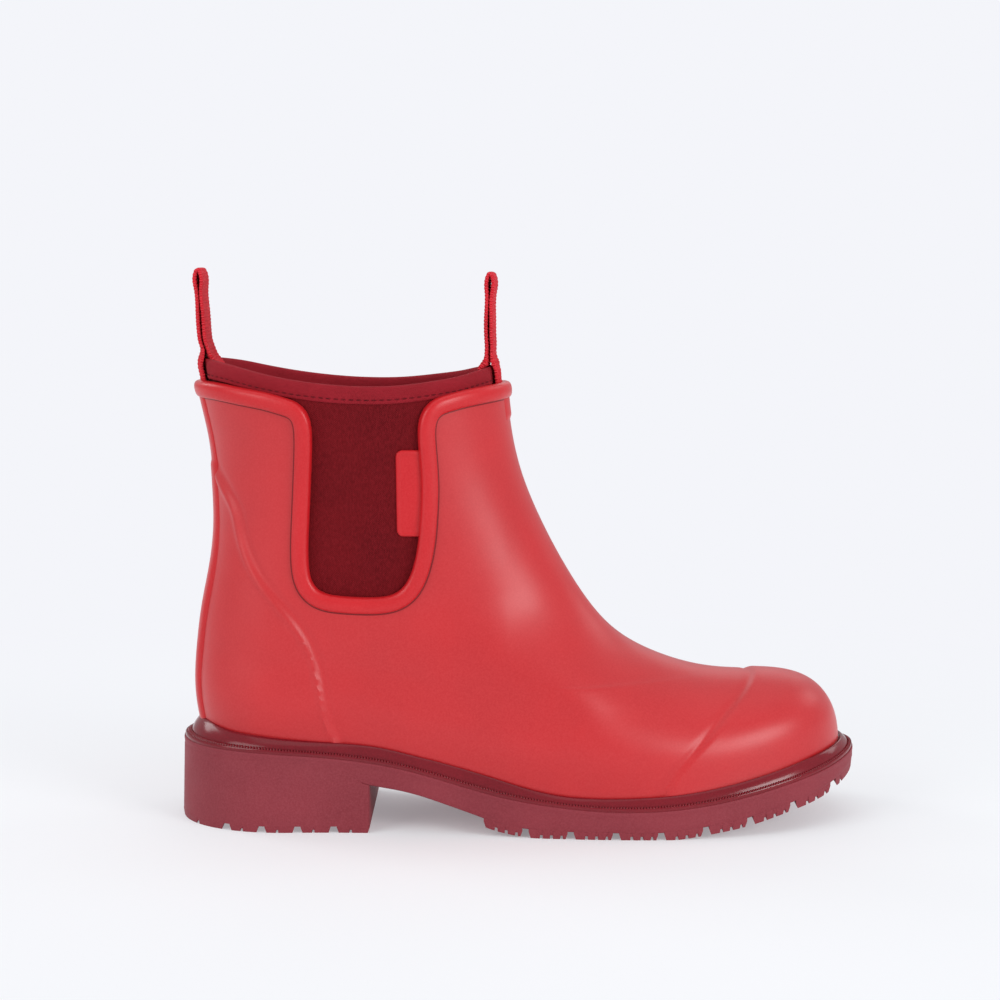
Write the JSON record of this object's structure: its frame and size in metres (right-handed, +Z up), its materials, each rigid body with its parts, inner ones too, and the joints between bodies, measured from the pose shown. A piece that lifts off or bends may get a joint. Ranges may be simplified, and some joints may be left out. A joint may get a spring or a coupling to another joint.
{
  "type": "rain boot",
  "caption": "Ankle-high pull-on rain boot, right foot: moulded rubber upper, stretch side gussets, webbing pull loops, soft collar and a heeled lugged sole.",
  "frame": {"origin": "middle of the bounding box in plan, on the ground under the sole", "axes": "+X towards the toe, +Y towards the inner (medial) side of the foot, +Z up; the outer side faces -Y"},
  "size_m": [0.279, 0.0976, 0.2256],
  "materials": {
    "upper_rubber": "satin moulded red rubber with broad soft highlights",
    "trim_rubber": "slightly glossier red rubber bead and strips",
    "gusset_neoprene": "matte dark red neoprene with a fine jersey face",
    "binding_tape": "matte woven edge binding",
    "webbing": "ribbed woven webbing",
    "sole_rubber": "matte burgundy sole rubber",
    "welt_rubber": "glossy dark burgundy ribbed band",
    "stiffener_rubber": "plain black inner reinforcement",
    "footbed_foam": "soft grey EVA foam",
    "footbed_cloth": "dark red knitted top cloth",
    "board": "tan cellulose fibre board",
    "steel": "plain sheet steel"
  },
  "bodies": {
    "boot": {"upper_shell": "upper_rubber", "rim_band": "trim_rubber", "backstay_strip": "trim_rubber", "front_patch": "trim_rubber", "gusset_panel_lateral": "gusset_neoprene", "gusset_panel_medial": "gusset_neoprene", "lining_sock": "gusset_neoprene", "collar_binding": "binding_tape", "loop_leg_back_outer": "webbing", "loop_leg_back_inner": "webbing", "loop_leg_front_outer": "webbing", "loop_leg_front_inner": "webbing", "outsole": "sole_rubber", "heel_block": "sole_rubber", "welt": "welt_rubber", "toe_puff": "stiffener_rubber", "heel_stiffener": "stiffener_rubber", "forefoot_filler": "stiffener_rubber", "heel_filler": "stiffener_rubber", "insole_board": "board", "shank": "steel"},
    "back_loop": {"pull_loop_back": "webbing"},
    "front_loop": {"pull_loop_front": "webbing"},
    "tab": {"side_tab": "trim_rubber"},
    "footbed": {"footbed_foam": "footbed_foam", "footbed_topcloth": "footbed_cloth"}
  },
  "joints": [
    {"name": "back_loop_fold", "type": "hinge", "parent": "boot", "child": "back_loop", "pos_m": [-0.12704, 0, 0.19392], "axis": [0, 1, 0], "range_deg": [-100, 90], "stiffness_Nm_per_rad": 0.02},
    {"name": "front_loop_fold", "type": "hinge", "parent": "boot", "child": "front_loop", "pos_m": [-0.01165, 0, 0.19093], "axis": [0, 1, 0], "range_deg": [-90, 100], "stiffness_Nm_per_rad": 0.02},
    {"name": "tab_flip", "type": "hinge", "parent": "boot", "child": "tab", "pos_m": [-0.04061, -0.03152, 0.11856], "axis": [-0.0041, -0.0674, 0.9977], "range_deg": [0, 80], "stiffness_Nm_per_rad": 0.005},
    {"name": "footbed_lift", "type": "hinge", "parent": "boot", "child": "footbed", "pos_m": [0.1253, 0, 0.03], "axis": [0, 1, 0], "range_deg": [0, 8]}
  ]
}
